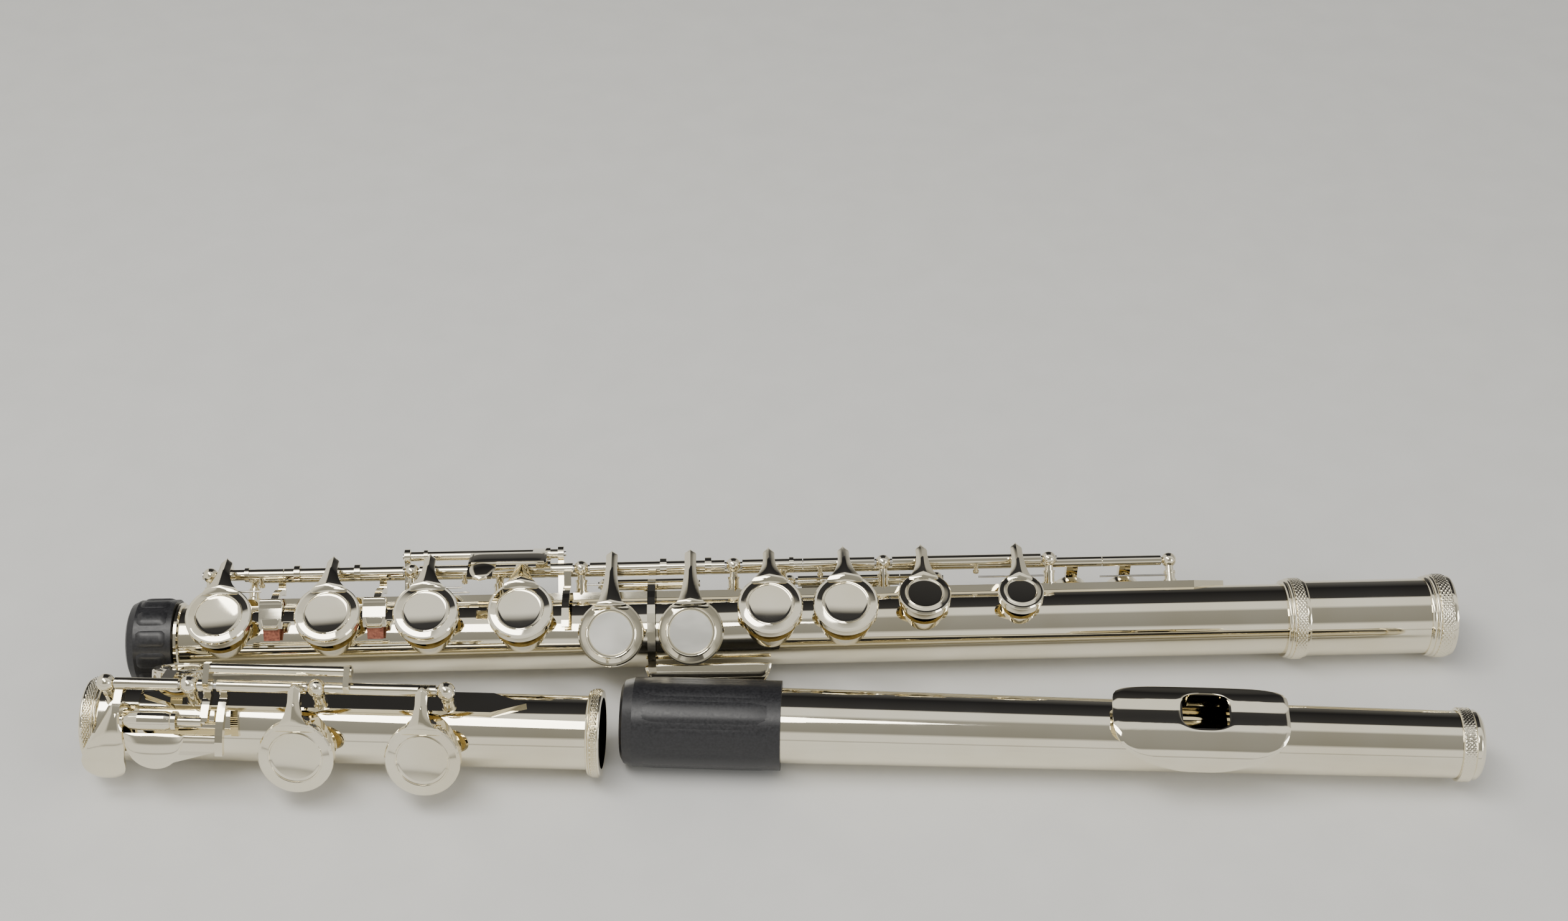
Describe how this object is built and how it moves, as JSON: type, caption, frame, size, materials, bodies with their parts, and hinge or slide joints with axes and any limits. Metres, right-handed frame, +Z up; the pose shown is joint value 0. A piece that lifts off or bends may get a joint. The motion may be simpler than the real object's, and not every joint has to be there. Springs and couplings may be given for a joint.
{
  "type": "concert flute in three joints",
  "caption": "Closed-hole concert flute taken apart into body, foot and head joints lying in a row, with hinged keys, pads, posts and tenon caps.",
  "frame": {"origin": "centre of the resting outline, on the table", "axes": "+X along the tubes towards the barrel and the crown, +Y from the foot and head joints to the body joint, +Z up"},
  "size_m": [0.3749, 0.0794, 0.0359],
  "materials": {
    "silver_plate": "polished silver plate",
    "steel": "ground steel",
    "pad_skin": "yellow pad skin over felt",
    "cork": "reddish brown cork",
    "black_plastic": "satin black plastic",
    "stopper_cork": "natural cork"
  },
  "bodies": {
    "body_joint": {"body_tube": "silver_plate", "tenon_ring": "silver_plate", "barrel": "silver_plate", "barrel_ring": "silver_plate", "socket_ring": "silver_plate", "rib": "silver_plate", "posts": "silver_plate", "main_steels": "steel", "rear_steels": "steel", "springs": "steel"},
    "d": {"d_key": "silver_plate", "d_pad": "pad_skin"},
    "e": {"e_key": "silver_plate", "e_pad": "pad_skin"},
    "f": {"f_key": "silver_plate", "f_pad": "pad_skin"},
    "f_sharp": {"f_sharp_key": "silver_plate", "f_sharp_pad": "pad_skin"},
    "g": {"g_keys": "silver_plate", "g_pads": "pad_skin"},
    "g_sharp": {"g_sharp_key": "silver_plate", "g_sharp_pad": "pad_skin"},
    "a": {"a_key": "silver_plate", "a_pad": "pad_skin"},
    "b_flat": {"b_flat_key": "silver_plate", "b_flat_pad": "pad_skin"},
    "c": {"c_keys": "silver_plate", "c_pads": "pad_skin"},
    "thumb_b": {"thumb_b_key": "silver_plate", "thumb_pad": "pad_skin"},
    "thumb_b_flat": {"thumb_b_flat_key": "silver_plate"},
    "d_trill": {"d_trill_key": "silver_plate", "d_trill_pad": "pad_skin", "d_trill_cork": "cork"},
    "d_sharp_trill": {"d_sharp_trill_key": "silver_plate", "d_sharp_trill_pad": "pad_skin", "d_sharp_trill_cork": "cork"},
    "side_lever": {"side_lever": "silver_plate"},
    "body_cap": {"body_cap": "black_plastic"},
    "head_cap": {"head_cap": "black_plastic"},
    "head": {"head_tube": "silver_plate", "lip_plate": "silver_plate"},
    "crown": {"crown": "silver_plate"},
    "stopper": {"stopper": "steel", "stopper_cork": "stopper_cork"},
    "foot": {"foot_tube": "silver_plate", "foot_socket_ring": "silver_plate", "foot_end_ring": "silver_plate", "foot_rib": "silver_plate", "foot_posts": "silver_plate", "foot_steels": "steel"},
    "e_flat": {"e_flat_key": "silver_plate", "e_flat_pad": "pad_skin"},
    "foot_c_sharp": {"foot_c_sharp_key": "silver_plate", "foot_c_sharp_pad": "pad_skin"},
    "foot_c": {"foot_c_key": "silver_plate", "foot_c_pad": "pad_skin"},
    "roller": {"foot_roller": "silver_plate"}
  },
  "joints": [
    {"name": "d_press", "type": "hinge", "parent": "body_joint", "child": "d", "pos_m": [-0.15028, 0.02651, 0.02647], "axis": [0.9995, 0.0309, 0], "range_deg": [0, 9], "stiffness_Nm_per_rad": 0.0137, "springref_deg": -20.05},
    {"name": "e_press", "type": "hinge", "parent": "body_joint", "child": "e", "pos_m": [-0.12429, 0.02731, 0.02647], "axis": [0.9995, 0.0309, 0], "range_deg": [0, 9], "stiffness_Nm_per_rad": 0.0137, "springref_deg": -20.05},
    {"name": "f_press", "type": "hinge", "parent": "body_joint", "child": "f", "pos_m": [-0.0953, 0.02821, 0.02647], "axis": [0.9995, 0.0309, 0], "range_deg": [0, 9], "stiffness_Nm_per_rad": 0.0137, "springref_deg": -20.05},
    {"name": "f_sharp_press", "type": "hinge", "parent": "body_joint", "child": "f_sharp", "pos_m": [-0.07331, 0.02889, 0.02647], "axis": [0.9995, 0.0309, 0], "range_deg": [0, 9], "stiffness_Nm_per_rad": 0.0137, "springref_deg": -20.05},
    {"name": "g_press", "type": "hinge", "parent": "body_joint", "child": "g", "pos_m": [-0.03733, 0.03, 0.02647], "axis": [0.9995, 0.0309, 0], "range_deg": [0, 8], "stiffness_Nm_per_rad": 0.0137, "springref_deg": -20.05},
    {"name": "a_press", "type": "hinge", "parent": "body_joint", "child": "a", "pos_m": [-0.00435, 0.03102, 0.02647], "axis": [0.9995, 0.0309, 0], "range_deg": [0, 9], "stiffness_Nm_per_rad": 0.0137, "springref_deg": -20.05},
    {"name": "b_flat_press", "type": "hinge", "parent": "body_joint", "child": "b_flat", "pos_m": [0.01464, 0.03161, 0.02647], "axis": [0.9995, 0.0309, 0], "range_deg": [0, 9], "stiffness_Nm_per_rad": 0.0137, "springref_deg": -20.05},
    {"name": "c_press", "type": "hinge", "parent": "body_joint", "child": "c", "pos_m": [0.05063, 0.03272, 0.02647], "axis": [0.9995, 0.0309, 0], "range_deg": [0, 9], "stiffness_Nm_per_rad": 0.0137, "springref_deg": -20.05},
    {"name": "g_sharp_press", "type": "hinge", "parent": "body_joint", "child": "g_sharp", "pos_m": [-0.03943, 0.03326, 0.01699], "axis": [0.9995, 0.0309, 0], "range_deg": [0, 7], "stiffness_Nm_per_rad": 0.0137, "springref_deg": -20.05},
    {"name": "thumb_b_press", "type": "hinge", "parent": "body_joint", "child": "thumb_b", "pos_m": [0.01754, 0.03502, 0.01699], "axis": [-0.9995, -0.0309, 0], "range_deg": [0, 9], "stiffness_Nm_per_rad": 0.0137, "springref_deg": -20.05},
    {"name": "thumb_b_flat_press", "type": "hinge", "parent": "body_joint", "child": "thumb_b_flat", "pos_m": [0.03653, 0.0356, 0.01699], "axis": [-0.9995, -0.0309, 0], "range_deg": [0, 9], "stiffness_Nm_per_rad": 0.0137, "springref_deg": -20.05},
    {"name": "d_trill_press", "type": "hinge", "parent": "body_joint", "child": "d_trill", "pos_m": [-0.01544, 0.03373, 0.02245], "axis": [0.9995, 0.0309, 0], "range_deg": [0, 5], "stiffness_Nm_per_rad": 0.0137, "springref_deg": -20.05},
    {"name": "d_sharp_trill_press", "type": "hinge", "parent": "body_joint", "child": "d_sharp_trill", "pos_m": [-0.02043, 0.03358, 0.02245], "axis": [0.9995, 0.0309, 0], "range_deg": [0, 5], "stiffness_Nm_per_rad": 0.0137, "springref_deg": -20.05},
    {"name": "side_lever_press", "type": "hinge", "parent": "body_joint", "child": "side_lever", "pos_m": [-0.08546, 0.03351, 0.02775], "axis": [0.9995, 0.0309, 0], "range_deg": [0, 7], "stiffness_Nm_per_rad": 0.0137, "springref_deg": -20.05},
    {"name": "body_cap_slide", "type": "slide", "parent": "body_joint", "child": "body_cap", "axis": [-0.9995, -0.0309, 0], "range_m": [0, 0.03]},
    {"name": "foot_lift", "type": "slide", "parent": "body_joint", "child": "foot", "axis": [0, 0, 1], "range_m": [0, 0.1]},
    {"name": "e_flat_press", "type": "hinge", "parent": "foot", "child": "e_flat", "pos_m": [-0.16815, -0.02066, 0.02995], "axis": [0.9994, -0.0358, 0], "range_deg": [0, 9], "stiffness_Nm_per_rad": 0.0137, "springref_deg": -20.05},
    {"name": "foot_c_sharp_press", "type": "hinge", "parent": "foot", "child": "foot_c_sharp", "pos_m": [-0.13817, -0.02174, 0.02995], "axis": [0.9994, -0.0358, 0], "range_deg": [0, 9], "stiffness_Nm_per_rad": 0.0137, "springref_deg": -20.05},
    {"name": "foot_c_press", "type": "hinge", "parent": "foot", "child": "foot_c", "pos_m": [-0.12318, -0.02227, 0.02995], "axis": [0.9994, -0.0358, 0], "range_deg": [0, 9], "stiffness_Nm_per_rad": 0.0137, "springref_deg": -20.05},
    {"name": "roller_spin", "type": "hinge", "parent": "foot_c", "child": "roller", "pos_m": [-0.16643, -0.02872, 0.02445], "axis": [0.9994, -0.0358, 0], "continuous": true},
    {"name": "head_lift", "type": "slide", "parent": "body_joint", "child": "head_cap", "axis": [0, 0, 1], "range_m": [0, 0.1]},
    {"name": "head_slide", "type": "slide", "parent": "head_cap", "child": "head", "axis": [0.9992, -0.0391, 0], "range_m": [0, 0.045]},
    {"name": "crown_turn", "type": "hinge", "parent": "head", "child": "crown", "pos_m": [0.18086, -0.02536, 0.01205], "axis": [0.9992, -0.0391, 0], "range_deg": [-190, 370]},
    {"name": "stopper_slide", "type": "slide", "parent": "head", "child": "stopper", "axis": [0.9992, -0.0391, 0], "range_m": [-0.0005, 0.001]}
  ],
  "couplings": [
    {"joint": "f_sharp_press", "follows": "f_press", "ratio": 1},
    {"joint": "b_flat_press", "follows": "a_press", "ratio": 1},
    {"joint": "crown_turn", "follows": "stopper_slide", "rad_per_m": 6283.2}
  ]
}
